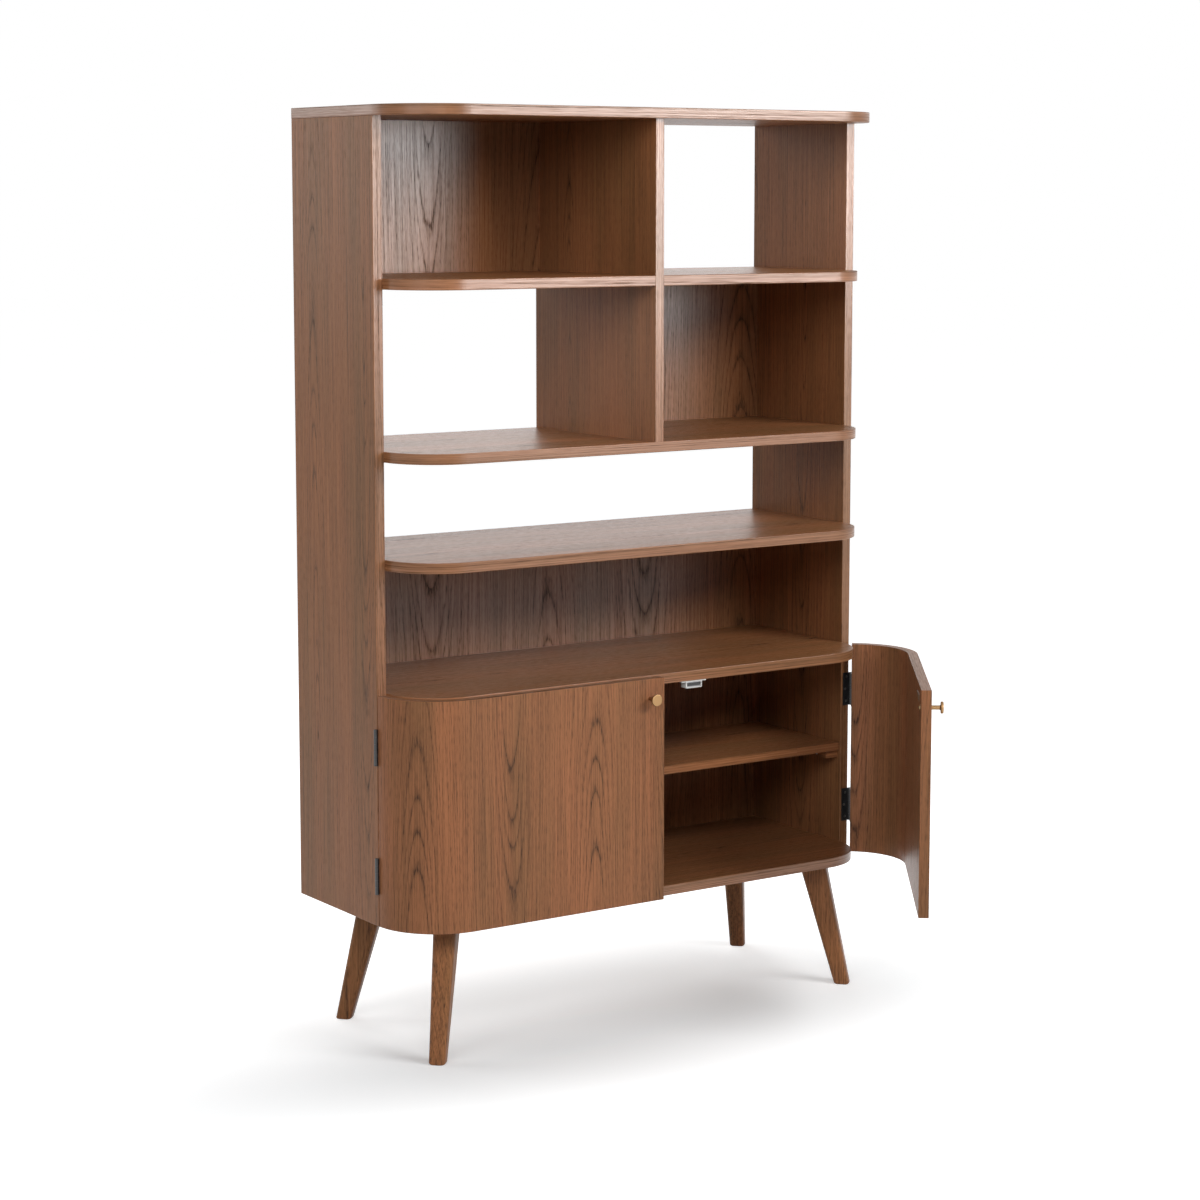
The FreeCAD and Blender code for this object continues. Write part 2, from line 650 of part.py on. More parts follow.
def leg_section(radial, tangential, rounding, centre, direction):
    """A rectangle with rounded corners at centre, its radial side along direction in degrees."""
    a = radial / 2
    b = tangential / 2
    slant = rounding * math.sqrt(0.5)
    edges = []
    last = None
    for quarter, (sign_a, sign_b) in enumerate(((1, 1), (-1, 1), (-1, -1), (1, -1))):
        middle = Vector(sign_a * (a - rounding), sign_b * (b - rounding), 0)
        across = middle + Vector(sign_a * rounding, 0, 0)
        along = middle + Vector(0, sign_b * rounding, 0)
        start, end = (across, along) if quarter % 2 == 0 else (along, across)
        if last is None:
            first = start
        else:
            edges.append(Part.makeLine(last, start))
        edges.append(Part.Arc(start, middle + Vector(sign_a * slant, sign_b * slant, 0), end).toShape())
        last = end
    edges.append(Part.makeLine(last, first))
    section = Part.Wire(edges)
    section.rotate(Vector(0, 0, 0), Vector(0, 0, 1), direction)
    section.translate(centre)
    return section


def make_legs(solids):
    """Four tapered legs, each on a stud, with a dowel that stops it turning."""
    studs = []
    nuts = []
    dowels = []
    up = Vector(0, 0, 1)
    ends = {"front": (-1, front_y + leg_inset_front), "rear": (1, side_depth - leg_inset_back)}
    for end, (end_sign, top_y) in ends.items():
        for name, side in sides.items():
            top = Vector(side * (half_width - leg_inset_side), top_y, leg_height)
            foot = top + Vector(side * leg_splay_x, end_sign * leg_splay_y, -leg_height)
            direction = math.degrees(math.atan2(end_sign, side))
            eased_foot = foot + (top - foot) * (leg_foot_ease / leg_height)
            sections = [
                leg_section(leg_foot_radial - 2 * leg_foot_ease, leg_foot_tangential - 2 * leg_foot_ease,
                            leg_foot_round - leg_foot_ease, foot, direction),
                leg_section(leg_foot_radial, leg_foot_tangential, leg_foot_round, eased_foot, direction),
                leg_section(leg_top_radial, leg_top_tangential, leg_top_round, top, direction),
            ]
            leg = "{}_{}_leg".format(end, name)
            solids[leg] = Part.makeLoft(sections, True, True)
            stud_hole = rod(stud_diameter + 2 * screw_play, top - up * (stud_in_leg + screw_end_play), up,
                            stud_in_leg + screw_end_play)
            solids[leg] = solids[leg].cut(stud_hole)
            nut_hole = rod(nut_diameter + 2 * screw_play, top, up, nut_length + nut_end_play)
            solids["cabinet_bottom_board"] = solids["cabinet_bottom_board"].cut(nut_hole)
            bore = rod(stud_diameter + 2 * screw_play, top, up, nut_length)
            nuts.append(rod(nut_diameter, top, up, nut_length).cut(bore))
            studs.append(rod(stud_diameter, top - up * stud_in_leg, up, stud_in_leg + nut_length))
            inward = Vector(-side, -end_sign, 0).normalize()
            dowels.append(fit_dowel(solids, top + inward * leg_dowel_offset, up,
                                    (leg_dowel_in_leg, leg_dowel_in_board), (leg, "cabinet_bottom_board")))
    solids["leg_studs"] = Part.Compound(studs)
    solids["leg_insert_nuts"] = Part.Compound(nuts)
    solids["leg_dowels"] = Part.Compound(dowels)


def open_right_door(solids):
    """Turns the right-hand door, and all that rides on it, to where it stands at rest."""
    hinge_parts = ("right_upper_hinge_door_leaf", "right_lower_hinge_door_leaf", "right_hinge_door_screws")
    riders = ("right_door", "right_knob", "right_knob_screw", "right_strike_plate", "right_strike_screws")
    for node in hinge_parts + riders:
        solids[node].rotate(Vector(pin_x, pin_y, 0), Vector(0, 0, 1), right_door_rest_angle)


def origin_in_plan():
    """The middle of the plan at rest: left knuckles, right door's bend, rear edges, open door's end."""
    angle = math.radians(right_door_rest_angle)

    def swung(x, y):
        x_arm = x - pin_x
        y_arm = y - pin_y
        return (pin_x + x_arm * math.cos(angle) - y_arm * math.sin(angle),
                pin_y + x_arm * math.sin(angle) + y_arm * math.cos(angle))
    bend_x = swung(corner_centre_x, 0)[0] + corner_radius
    left_x = -pin_x - knuckle_diameter / 2
    end_y = swung(door_meeting_gap / 2, -corner_radius)[1]
    return Vector((left_x + bend_x) / 2, (end_y + side_depth) / 2, 0)


def build():
    solids = make_boards()
    fit_back_panels(solids)
    dowels = make_dowels(solids)
    make_cleats(solids)
    for name, side in sides.items():
        solids[name + "_door"] = make_door(side)
    make_hinges(solids)
    make_knobs(solids)
    make_catches(solids)
    make_strikes(solids)
    make_legs(solids)
    solids.update(dowels)
    open_right_door(solids)
    return solids


os.makedirs("parts", exist_ok=True)
origin = origin_in_plan()
for node, shape in build().items():
    shape.translate(-origin)
    shape.exportStep("parts/" + node + ".step")
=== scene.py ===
# %% [markdown]
# # A bookcase with cabinet doors
#
# The pieces of the bookcase come ready-made and in place from the frame, in metres, with +Z up and
# the front facing -Y. This lesson gives them their finish: stained veneer, solid legs, brass,
# black steel, white plastic and zinc. It ends with the floor, the lamps and the camera.

# %% Load the frame
import json
import math

import bpy
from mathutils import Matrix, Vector


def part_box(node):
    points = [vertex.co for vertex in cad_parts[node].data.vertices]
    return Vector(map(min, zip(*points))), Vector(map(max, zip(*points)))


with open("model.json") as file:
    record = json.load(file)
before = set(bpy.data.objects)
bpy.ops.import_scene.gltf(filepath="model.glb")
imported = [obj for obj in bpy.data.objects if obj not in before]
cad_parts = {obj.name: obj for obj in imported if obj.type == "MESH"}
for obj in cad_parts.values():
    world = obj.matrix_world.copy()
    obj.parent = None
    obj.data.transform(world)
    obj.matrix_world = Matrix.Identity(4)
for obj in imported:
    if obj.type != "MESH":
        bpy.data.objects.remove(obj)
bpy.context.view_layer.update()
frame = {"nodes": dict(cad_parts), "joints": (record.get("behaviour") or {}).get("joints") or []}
nodes = frame["nodes"]

# %% [markdown]
# ## Places that the finishes need
#
# A veneer follows its board, so its pattern has to know where the boards lie and where they turn
# their corners. All of that is read from the frame. The top board's front corners are quarter
# circles that start beside the side panels' front edges, so their radius is how far the top board
# stands forward of a side panel. The doors turn the same corners.

# %% Places read from the frame
left_panel_low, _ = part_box("left_side_panel")
_, right_panel_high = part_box("right_side_panel")
top_board_low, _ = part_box("top_board")
middle_x = (left_panel_low.x + right_panel_high.x) / 2
corner_y = left_panel_low.y
corner_radius = corner_y - top_board_low.y
corner_x = (right_panel_high.x - left_panel_low.x) / 2 - corner_radius
joints = {joint["name"]: joint for joint in frame["joints"]}
right_pin = Vector(joints["right_door_hinge"]["pos_m"])
right_door_turn = math.radians(joints["right_door_hinge"]["range_deg"][0])
print("corner radius {:.3f} m, right door stands {:.1f} degrees open".format(
    corner_radius, -math.degrees(right_door_turn)))

# %% [markdown]
# ## Small helpers for shader nodes
#
# A pattern is a sum made of many small nodes, and helpers keep the cells short. `feed` links a
# socket or sets a value. `calc` is one Math node, and `plus`, `minus` and `times` are the three
# that are used most. `mix_colours` is one Mix node on colours.

# %% Node helpers
def feed(tree, value, socket):
    if isinstance(value, bpy.types.NodeSocket):
        tree.links.new(value, socket)
    else:
        socket.default_value = value


def calc(tree, operation, *values):
    node = tree.nodes.new("ShaderNodeMath")
    node.operation = operation
    for value, socket in zip(values, node.inputs):
        feed(tree, value, socket)
    return node.outputs[0]


def plus(tree, first, second):
    return calc(tree, "ADD", first, second)


def minus(tree, first, second):
    return calc(tree, "SUBTRACT", first, second)


def times(tree, first, second):
    return calc(tree, "MULTIPLY", first, second)


def mix_colours(tree, share, first, second, blend="MIX"):
    node = tree.nodes.new("ShaderNodeMix")
    node.data_type = "RGBA"
    node.blend_type = blend
    feed(tree, share, node.inputs["Factor"])
    feed(tree, first, node.inputs["A"])
    feed(tree, second, node.inputs["B"])
    return node.outputs["Result"]


def split(tree, vector):
    node = tree.nodes.new("ShaderNodeSeparateXYZ")
    feed(tree, vector, node.inputs[0])
    return node.outputs[0], node.outputs[1], node.outputs[2]


def join(tree, x, y, z):
    node = tree.nodes.new("ShaderNodeCombineXYZ")
    for value, socket in zip((x, y, z), node.inputs):
        feed(tree, value, socket)
    return node.outputs[0]


def stretched_noise(tree, vector, scales, detail=2.0, roughness=0.5):
    """Noise from 0 to 1 whose blotches are squeezed by the scales across, into and along."""
    mapping = tree.nodes.new("ShaderNodeVectorMath")
    mapping.operation = "MULTIPLY"
    feed(tree, vector, mapping.inputs[0])
    mapping.inputs[1].default_value = scales
    noise = tree.nodes.new("ShaderNodeTexNoise")
    noise.inputs["Scale"].default_value = 1.0
    noise.inputs["Detail"].default_value = detail
    noise.inputs["Roughness"].default_value = roughness
    tree.links.new(mapping.outputs[0], noise.inputs["Vector"])
    return noise.outputs["Fac"]


def new_group(name, inputs, outputs):
    """An empty node group with named sockets: returns the tree, its input and its output node."""
    tree = bpy.data.node_groups.new(name, "ShaderNodeTree")
    for socket, (kind, value) in inputs.items():
        made = tree.interface.new_socket(socket, in_out="INPUT", socket_type="NodeSocket" + kind)
        if value is not None:
            made.default_value = value
    for socket, kind in outputs.items():
        tree.interface.new_socket(socket, in_out="OUTPUT", socket_type="NodeSocket" + kind)
    return tree, tree.nodes.new("NodeGroupInput"), tree.nodes.new("NodeGroupOutput")


# %% [markdown]
# ## Unrolling a bent sheet
#
# The doors and the edge bands are straight strips bent round the corner, and their grain bends
# with them. If the pattern read plain X and Y, its lines would smear where the sheet turns away.
# So this group unrolls the sheet first: it gives the length along it, counted round the corner,
# and the distance from the corner's centre, which is how deep into the sheet a point lies.

# %% Group: unroll
def make_unroll():
    tree, given, result = new_group("Unroll", {"Vector": ("Vector", None)},
                                    {"Length": "Float", "Depth": "Float"})
    x, y, _ = split(tree, given.outputs["Vector"])
    from_middle = minus(tree, x, middle_x)
    side = calc(tree, "SIGN", from_middle)
    out = calc(tree, "ABSOLUTE", from_middle)
    past_x = calc(tree, "MAXIMUM", minus(tree, out, corner_x), 0.0)
    forward = calc(tree, "MAXIMUM", minus(tree, corner_y, y), 0.0)
    behind = calc(tree, "MAXIMUM", minus(tree, y, corner_y), 0.0)
    turn = calc(tree, "ARCTAN2", past_x, forward)
    length = plus(tree, calc(tree, "MINIMUM", out, corner_x), behind)
    length = plus(tree, length, times(tree, turn, corner_radius))
    squares = plus(tree, calc(tree, "POWER", past_x, 2.0), calc(tree, "POWER", forward, 2.0))
    tree.links.new(times(tree, length, side), result.inputs["Length"])
    tree.links.new(calc(tree, "SQRT", squares), result.inputs["Depth"])
    return tree


unroll = make_unroll()
print("group:", unroll.name)

# %% [markdown]
# ## Growth rings
#
# A veneer leaf is a slice of a log. The rings are tubes round the log's heart, and the heart runs
# not quite parallel to the slice, so the slice cuts each ring in a long pointed arch: the
# cathedral figure. The same sum gives straight lines at the sides of the leaf and arches in its
# middle. The leaves lie side by side, each with its own place on the log and every other one
# turned over.
#
# The group works in veneer directions: X across the grain, Y into the wood, Z along the grain. A
# ring is cut flattest at the tip of its arch, so its line is widest and darkest there.

# %% Group: growth rings
LEAF_INPUTS = {"Vector": ("Vector", None), "Leaf Width": ("Float", 0.163),
               "Ring Width": ("Float", 0.0052), "Rise": ("Float", 0.055),
               "Heart Depth": ("Float", 0.025), "Middle": ("Float", 0.0), "Seed": ("Float", 0.0)}
SWAY = 0.02            # metres that the heart wanders slowly to the sides
RIPPLE = 0.002         # metres that the ring lines waver
SWELL = 0.01           # metres that the log grows thicker and thinner
HEART_SPREAD = 0.15    # part of a leaf's width by which its heart lies off its middle
DEPTH_SPREAD = 0.2     # part of the heart's depth by which the leaves differ
UNEVEN_RINGS = 0.3     # part of a ring's width by which the rings differ
EARLY_FADE = -7.0      # how fast a line fades into its own ring
LATE_FADE = -14.0      # how fast it fades into the ring before
WEAKEST_YEAR = 0.35    # strength of the faintest ring line, where the strongest has 1
SIDE_STRENGTH = 0.75   # of a line that is cut steeply, at the sides of the leaf
TIP_STRENGTH = 0.75    # added where it is cut flat, at the tip of its arch


def make_growth_rings():
    tree, given, result = new_group("Growth rings", LEAF_INPUTS,
                                    {"Line": "Float", "Leaf Tone": "Float"})
    vector = given.outputs["Vector"]
    leaf_width = given.outputs["Leaf Width"]
    across, into, along = split(tree, vector)
    leaves = plus(tree, calc(tree, "DIVIDE", across, leaf_width), given.outputs["Seed"])
    number = calc(tree, "FLOOR", leaves)
    chance = tree.nodes.new("ShaderNodeTexWhiteNoise")
    tree.links.new(join(tree, number, given.outputs["Seed"], 0.0), chance.inputs["Vector"])
    first, second, third = split(tree, chance.outputs["Color"])

    # How far a point lies from the heart, to the side.
    sway = minus(tree, stretched_noise(tree, vector, (5.0, 5.0, 2.2)), 0.5)
    ripple = minus(tree, stretched_noise(tree, vector, (50.0, 50.0, 14.0)), 0.5)
    middle = minus(tree, minus(tree, leaves, number), 0.5)
    offset = times(tree, minus(tree, first, 0.5), HEART_SPREAD)
    from_heart = times(tree, minus(tree, middle, offset), leaf_width)
    from_heart = plus(tree, from_heart, times(tree, sway, SWAY))
    from_heart = plus(tree, from_heart, times(tree, ripple, RIPPLE))

    # How deep the heart lies under it. Every other leaf climbs the log the other way round.
    odd = calc(tree, "FLOORED_MODULO", number, 2.0)
    flip = minus(tree, 1.0, times(tree, 2.0, odd))
    climb = minus(tree, along, given.outputs["Middle"])
    climb = times(tree, times(tree, climb, given.outputs["Rise"]), flip)
    swell = minus(tree, stretched_noise(tree, vector, (2.0, 2.0, 3.0)), 0.5)
    depth = times(tree, second, DEPTH_SPREAD)
    depth = plus(tree, depth, 1.0 - DEPTH_SPREAD / 2)
    depth = times(tree, given.outputs["Heart Depth"], depth)
    depth = plus(tree, depth, plus(tree, climb, into))
    depth = plus(tree, depth, times(tree, swell, SWELL))

    # The ring's number, and the dark line where one ring meets the next.
    deep = calc(tree, "POWER", depth, 2.0)
    squares = plus(tree, calc(tree, "POWER", from_heart, 2.0), deep)
    rings = calc(tree, "DIVIDE", calc(tree, "SQRT", squares), given.outputs["Ring Width"])
    uneven = calc(tree, "SINE", times(tree, rings, 1.7))
    rings = plus(tree, rings, times(tree, uneven, UNEVEN_RINGS))
    part = calc(tree, "FRACT", rings)
    early = calc(tree, "EXPONENT", times(tree, part, EARLY_FADE))
    late = calc(tree, "EXPONENT", times(tree, minus(tree, 1.0, part), LATE_FADE))
    line = calc(tree, "MAXIMUM", early, late)

    # Each year has its own strength, and every line is strongest where it is cut flat.
    year = tree.nodes.new("ShaderNodeTexWhiteNoise")
    year.noise_dimensions = "1D"
    tree.links.new(calc(tree, "FLOOR", rings), year.inputs["W"])
    strength = times(tree, year.outputs["Value"], 1.0 - WEAKEST_YEAR)
    strength = plus(tree, strength, WEAKEST_YEAR)
    flat_cut = calc(tree, "DIVIDE", deep, plus(tree, squares, 0.00001))
    flat_cut = times(tree, calc(tree, "POWER", flat_cut, 3.0), TIP_STRENGTH)
    strength = times(tree, strength, plus(tree, flat_cut, SIDE_STRENGTH))
    tree.links.new(times(tree, line, strength), result.inputs["Line"])
    tree.links.new(third, result.inputs["Leaf Tone"])
    return tree


growth_rings = make_growth_rings()
print("group:", growth_rings.name)

# %% [markdown]
# ## Stained wood
#
# The stain sinks into the open pores at the start of each ring, so the ring lines are dark.
# Between them the wood keeps a warm brown that wanders between a redder and a browner tone, with
# fine streaks along the grain. This group adds streaks and pores to the growth rings. It puts
# out a colour, a roughness, a height for the bump, and how much polish the wood takes: less where
# it is dark, because the pores are open there.

# %% Group: stained wood
STAIN = {"Red Tone": (0.372, 0.149, 0.061, 1), "Brown Tone": (0.280, 0.126, 0.051, 1),
         "Line Tone": (0.070, 0.034, 0.017, 1)}
# How often each kind of noise changes in a metre: across, into and along the grain.
CLOUDS = (14.0, 14.0, 1.6)
STREAKS = (110.0, 110.0, 2.5)
FIBRES = (430.0, 430.0, 3.5)
DASHES = (560.0, 560.0, 60.0)
# How much darker each part of the figure makes the wood.
LINE_SHADE = 0.49
PORE_SHADE = 0.5
FIBRE_SHADE = 1.5
STREAK_SHADE = 0.6
LEAF_SHADE = 0.1
# The roughness of the lacquer, and how much fibres and pores add to it.
ROUGHNESS = 0.26
FIBRE_ROUGHNESS = 0.16
PORE_ROUGHNESS = 0.2


def clamped(tree, value, start, gain):
    """0 up to the start, then rising by the gain until it stays at 1."""
    node = tree.nodes.new("ShaderNodeMath")
    node.operation = "MULTIPLY"
    node.use_clamp = True
    tree.links.new(minus(tree, value, start), node.inputs[0])
    node.inputs[1].default_value = gain
    return node.outputs[0]


def make_stained_wood():
    inputs = {**LEAF_INPUTS, **{name: ("Color", tone) for name, tone in STAIN.items()},
              "Figure": ("Float", 1.0)}
    outputs = {"Color": "Color", "Roughness": "Float", "Height": "Float", "Polish": "Float"}
    tree, given, result = new_group("Stained wood", inputs, outputs)
    vector = given.outputs["Vector"]
    rings = tree.nodes.new("ShaderNodeGroup")
    rings.node_tree = growth_rings
    for socket in LEAF_INPUTS:
        tree.links.new(given.outputs[socket], rings.inputs[socket])
    line = rings.outputs["Line"]

    cloud = stretched_noise(tree, vector, CLOUDS, 3.0)
    streak = stretched_noise(tree, vector, STREAKS, 3.0, 0.6)
    fibre = stretched_noise(tree, vector, FIBRES, 2.0, 0.65)
    dash = clamped(tree, stretched_noise(tree, vector, DASHES, 2.0), 0.45, 6.0)
    pore = times(tree, dash, plus(tree, 0.4, line))

    # The shade is 0 on the bare stain and 1 in the darkest pore.
    base = mix_colours(tree, clamped(tree, cloud, 0.38, 3.5), given.outputs["Red Tone"],
                       given.outputs["Brown Tone"])
    shade = plus(tree, times(tree, line, LINE_SHADE), times(tree, pore, PORE_SHADE))
    shade = times(tree, shade, given.outputs["Figure"])
    shade = plus(tree, shade, times(tree, minus(tree, fibre, 0.42), FIBRE_SHADE))
    shade = plus(tree, shade, times(tree, minus(tree, streak, 0.5), STREAK_SHADE))
    shade = plus(tree, shade, times(tree, rings.outputs["Leaf Tone"], LEAF_SHADE))
    shade = clamped(tree, shade, 0.0, 1.0)
    colour = mix_colours(tree, shade, base, given.outputs["Line Tone"])
    tree.links.new(colour, result.inputs["Color"])
    polish = calc(tree, "POWER", minus(tree, 1.0, shade), 1.5)
    tree.links.new(polish, result.inputs["Polish"])

    rough = plus(tree, ROUGHNESS, times(tree, fibre, FIBRE_ROUGHNESS))
    rough = plus(tree, rough, times(tree, pore, PORE_ROUGHNESS))
    tree.links.new(rough, result.inputs["Roughness"])
    height = plus(tree, times(tree, pore, -1.0), times(tree, line, -0.4))
    height = plus(tree, height, times(tree, fibre, 0.5))
    tree.links.new(height, result.inputs["Height"])
    return tree


stained_wood = make_stained_wood()
print("group:", stained_wood.name)

# %% [markdown]
# ## The way the grain runs
#
# Each kind of piece turns its place in the bookcase into veneer directions in its own way. The
# surface's normal tells a face from an edge.
#
# - Upright panels: the grain goes up. X plus Y counts across the face and on round its edge.
# - Boards: the grain goes from side to side on the faces. On the edge it follows the band round.
#   Each board lies at its own height, and the height moves it on to other leaves.
# - Doors: the grain goes up, and the sheet is unrolled first. On their ends it follows the band.
# - Legs: the grain goes up, through solid wood.

# %% Directions of the grain
LEAVES_UP = 3.7         # metres across the log for each metre that a board lies higher
BAND_STRETCH = 0.3      # the figure on an edge is drawn out along it by one over this
LEVEL = 0.6             # a board's face has a normal with more of Z than this
FORWARD = -0.7          # a front edge has a normal with less of Y than this


def place_in_piece(tree):
    return tree.nodes.new("ShaderNodeTexCoord").outputs["Object"]


def unrolled(tree, vector):
    """The length along the bent sheet, the distance from the corner's centre, and the height."""
    node = tree.nodes.new("ShaderNodeGroup")
    node.node_tree = unroll
    tree.links.new(vector, node.inputs["Vector"])
    return node.outputs["Length"], node.outputs["Depth"], split(tree, vector)[2]


def facing_up(tree):
    """1 where the surface faces straight up or down, and 0 elsewhere."""
    normal = tree.nodes.new("ShaderNodeTexCoord").outputs["Normal"]
    return calc(tree, "GREATER_THAN", calc(tree, "ABSOLUTE", split(tree, normal)[2]), LEVEL)


def round_the_edge(tree):
    """1 on a board's edge band, and 0 on its faces."""
    return minus(tree, 1.0, facing_up(tree))


def facing_front(tree):
    """1 where the surface faces the front, as an upright panel's front edge does."""
    normal = tree.nodes.new("ShaderNodeTexCoord").outputs["Normal"]
    return calc(tree, "LESS_THAN", split(tree, normal)[1], FORWARD)


def choose(tree, share, first, second):
    node = tree.nodes.new("ShaderNodeMix")
    node.data_type = "VECTOR"
    feed(tree, share, node.inputs["Factor"])
    tree.links.new(first, node.inputs["A"])
    tree.links.new(second, node.inputs["B"])
    return node.outputs["Result"]


def up_the_panel(tree):
    x, y, z = split(tree, place_in_piece(tree))
    return join(tree, plus(tree, x, y), 0.0, z)


def along_the_board(tree):
    place = place_in_piece(tree)
    x, y, z = split(tree, place)
    length = unrolled(tree, place)[0]
    across = plus(tree, y, times(tree, z, LEAVES_UP))
    band = join(tree, z, 0.0, times(tree, length, BAND_STRETCH))
    return choose(tree, facing_up(tree), band, join(tree, across, 0.0, x))


def up_the_door(tree, turn=0.0):
    place = place_in_piece(tree)
    if turn:
        back = tree.nodes.new("ShaderNodeVectorRotate")
        back.rotation_type = "Z_AXIS"
        tree.links.new(place, back.inputs["Vector"])
        back.inputs["Center"].default_value = right_pin
        back.inputs["Angle"].default_value = turn
        place = back.outputs[0]
    length, depth, height = unrolled(tree, place)
    band = join(tree, depth, 0.0, times(tree, length, BAND_STRETCH))
    across = plus(tree, length, depth)
    return choose(tree, facing_up(tree), join(tree, across, 0.0, height), band)


def up_the_right_door(tree):
    return up_the_door(tree, right_door_turn)


# %% [markdown]
# ## Wooden finishes
#
# Every wooden finish is the same stain under the same satin lacquer, so one function makes them
# all. What differs is the way the grain runs, where the leaves lie, and how strong the figure is.
# The doors' tones carry a little more blue, which paints in a pale sheen.
#
# The lacquer is rubbed to a shine where a finish says it is polished: on the front edges of the
# panels, on the edge bands of the boards, and on the back panels. There a clear coat lies over the
# stain. It is thinner over the dark pores, so the grain shows through its sheen.

# %% Wooden finishes
EDGE_COAT = 1.0
PANEL_COAT = 0.8
LACQUER_GLOSS = 0.13        # specular level of the satin lacquer
COAT_ROUGHNESS = 0.3
GRAIN_DEPTH = 0.0001        # metres
# The doors' tones are the stain with a little more blue. The blue is painted sheen: it stands in
# for the pale veil of the key box, which is left out of reflections.
DOOR_STAIN_WITH_SHEEN = {"Red Tone": (0.372, 0.149, 0.067, 1), "Brown Tone": (0.280, 0.126, 0.056, 1),
              "Line Tone": (0.070, 0.034, 0.019, 1)}
BEECH = {"Red Tone": (0.62, 0.42, 0.24, 1), "Brown Tone": (0.56, 0.38, 0.22, 1),
         "Line Tone": (0.4, 0.24, 0.12, 1)}


def new_material(name):
    material = bpy.data.materials.new(name)
    material.use_nodes = True
    return material, material.node_tree, material.node_tree.nodes["Principled BSDF"]


def add_bump(tree, shader, height, distance):
    bump = tree.nodes.new("ShaderNodeBump")
    bump.inputs["Distance"].default_value = distance
    tree.links.new(height, bump.inputs["Height"])
    tree.links.new(bump.outputs["Normal"], shader.inputs["Normal"])


def make_wood(name, direction, tones=STAIN, polished=None, coat=EDGE_COAT, **values):
    material, tree, shader = new_material(name)
    wood = tree.nodes.new("ShaderNodeGroup")
    wood.node_tree = stained_wood
    tree.links.new(direction(tree), wood.inputs["Vector"])
    for socket, value in tones.items():
        wood.inputs[socket].default_value = value
    for socket, value in values.items():
        wood.inputs[socket.replace("_", " ")].default_value = value
    tree.links.new(wood.outputs["Color"], shader.inputs["Base Color"])
    tree.links.new(wood.outputs["Roughness"], shader.inputs["Roughness"])
    add_bump(tree, shader, wood.outputs["Height"], GRAIN_DEPTH)
    shader.inputs["Specular IOR Level"].default_value = LACQUER_GLOSS
    if polished:
        weight = times(tree, times(tree, polished(tree), coat), wood.outputs["Polish"])
        tree.links.new(weight, shader.inputs["Coat Weight"])
        shader.inputs["Coat Roughness"].default_value = COAT_ROUGHNESS
    return material


side_veneer = make_wood("side_veneer", up_the_panel, polished=facing_front,
                        Leaf_Width=0.19, Ring_Width=0.0045, Rise=0.04, Heart_Depth=0.024,
                        Middle=0.97, Seed=3.718, Figure=0.75)
divider_veneer = make_wood("divider_veneer", up_the_panel, polished=facing_front,
                           Leaf_Width=0.34, Ring_Width=0.0035, Rise=0.05, Heart_Depth=0.02,
                           Middle=1.3, Seed=5.826, Figure=0.7)
back_veneer = make_wood("back_veneer", up_the_panel, polished=facing_front, coat=PANEL_COAT,
                        Leaf_Width=0.24, Ring_Width=0.006, Rise=0.06, Heart_Depth=0.07,
                        Middle=1.0, Seed=4.98, Figure=0.8)
board_veneer = make_wood("board_veneer", along_the_board, polished=round_the_edge,
                         Leaf_Width=0.21, Rise=0.03, Seed=2.0, Figure=0.8)
left_door_veneer = make_wood("left_door_veneer", up_the_door, DOOR_STAIN_WITH_SHEEN, Leaf_Width=0.184,
                             Heart_Depth=0.036, Middle=0.43, Seed=0.694, Figure=0.85)
right_door_veneer = make_wood("right_door_veneer", up_the_right_door, DOOR_STAIN_WITH_SHEEN, Leaf_Width=0.184,
                              Heart_Depth=0.036, Middle=0.43, Seed=3.694, Figure=0.85)
leg_wood = make_wood("leg_wood", place_in_piece, Leaf_Width=2.0, Rise=0.03, Seed=1.0)
cleat_wood = make_wood("cleat_wood", along_the_board, Leaf_Width=0.5, Seed=9.0)
dowel_beech = make_wood("dowel_beech", along_the_board, BEECH)
print("wooden finishes ready")

# %% [markdown]
# ## Metal and plastic finishes
#
# The knobs are satin brass. The hinges are black lacquered steel and the strike plates brown. The
# screws that show inside a door are yellow zinc, the other screws, the studs and the pole plates
# are plain zinc, and the catches are white moulded plastic. None of them is perfectly even: one
# group adds a fine texture that varies their tone, their roughness and their surface a little.

# %% Group: fine texture
def make_fine_texture():
    tree, given, result = new_group(
        "Fine texture",
        {"Vector": ("Vector", None), "Color": ("Color", (0.5, 0.5, 0.5, 1)),
         "Roughness": ("Float", 0.4), "Grain": ("Float", 400.0)},
        {"Color": "Color", "Roughness": "Float", "Height": "Float"})
    vector = given.outputs["Vector"]
    patch = stretched_noise(tree, vector, (25.0, 25.0, 25.0))
    grain = tree.nodes.new("ShaderNodeTexNoise")
    grain.inputs["Detail"].default_value = 3.0
    tree.links.new(vector, grain.inputs["Vector"])
    tree.links.new(given.outputs["Grain"], grain.inputs["Scale"])
    speck = grain.outputs["Fac"]
    worn = mix_colours(tree, 1.0, given.outputs["Color"], (0.7, 0.7, 0.7, 1), "MULTIPLY")
    colour = mix_colours(tree, times(tree, patch, 0.4), given.outputs["Color"], worn)
    tree.links.new(colour, result.inputs["Color"])
    rough = plus(tree, 0.8, times(tree, speck, 0.4))
    rough = times(tree, given.outputs["Roughness"], rough)
    tree.links.new(rough, result.inputs["Roughness"])
    tree.links.new(speck, result.inputs["Height"])
    return tree


fine_texture = make_fine_texture()
print("group:", fine_texture.name)

# %% Metals and plastics
SPECK_DEPTH = 0.00003               # metres
KNOB_BRUSHING = (1.0, 0.3, 0.12)    # draws the specks on the knobs out into fine lines


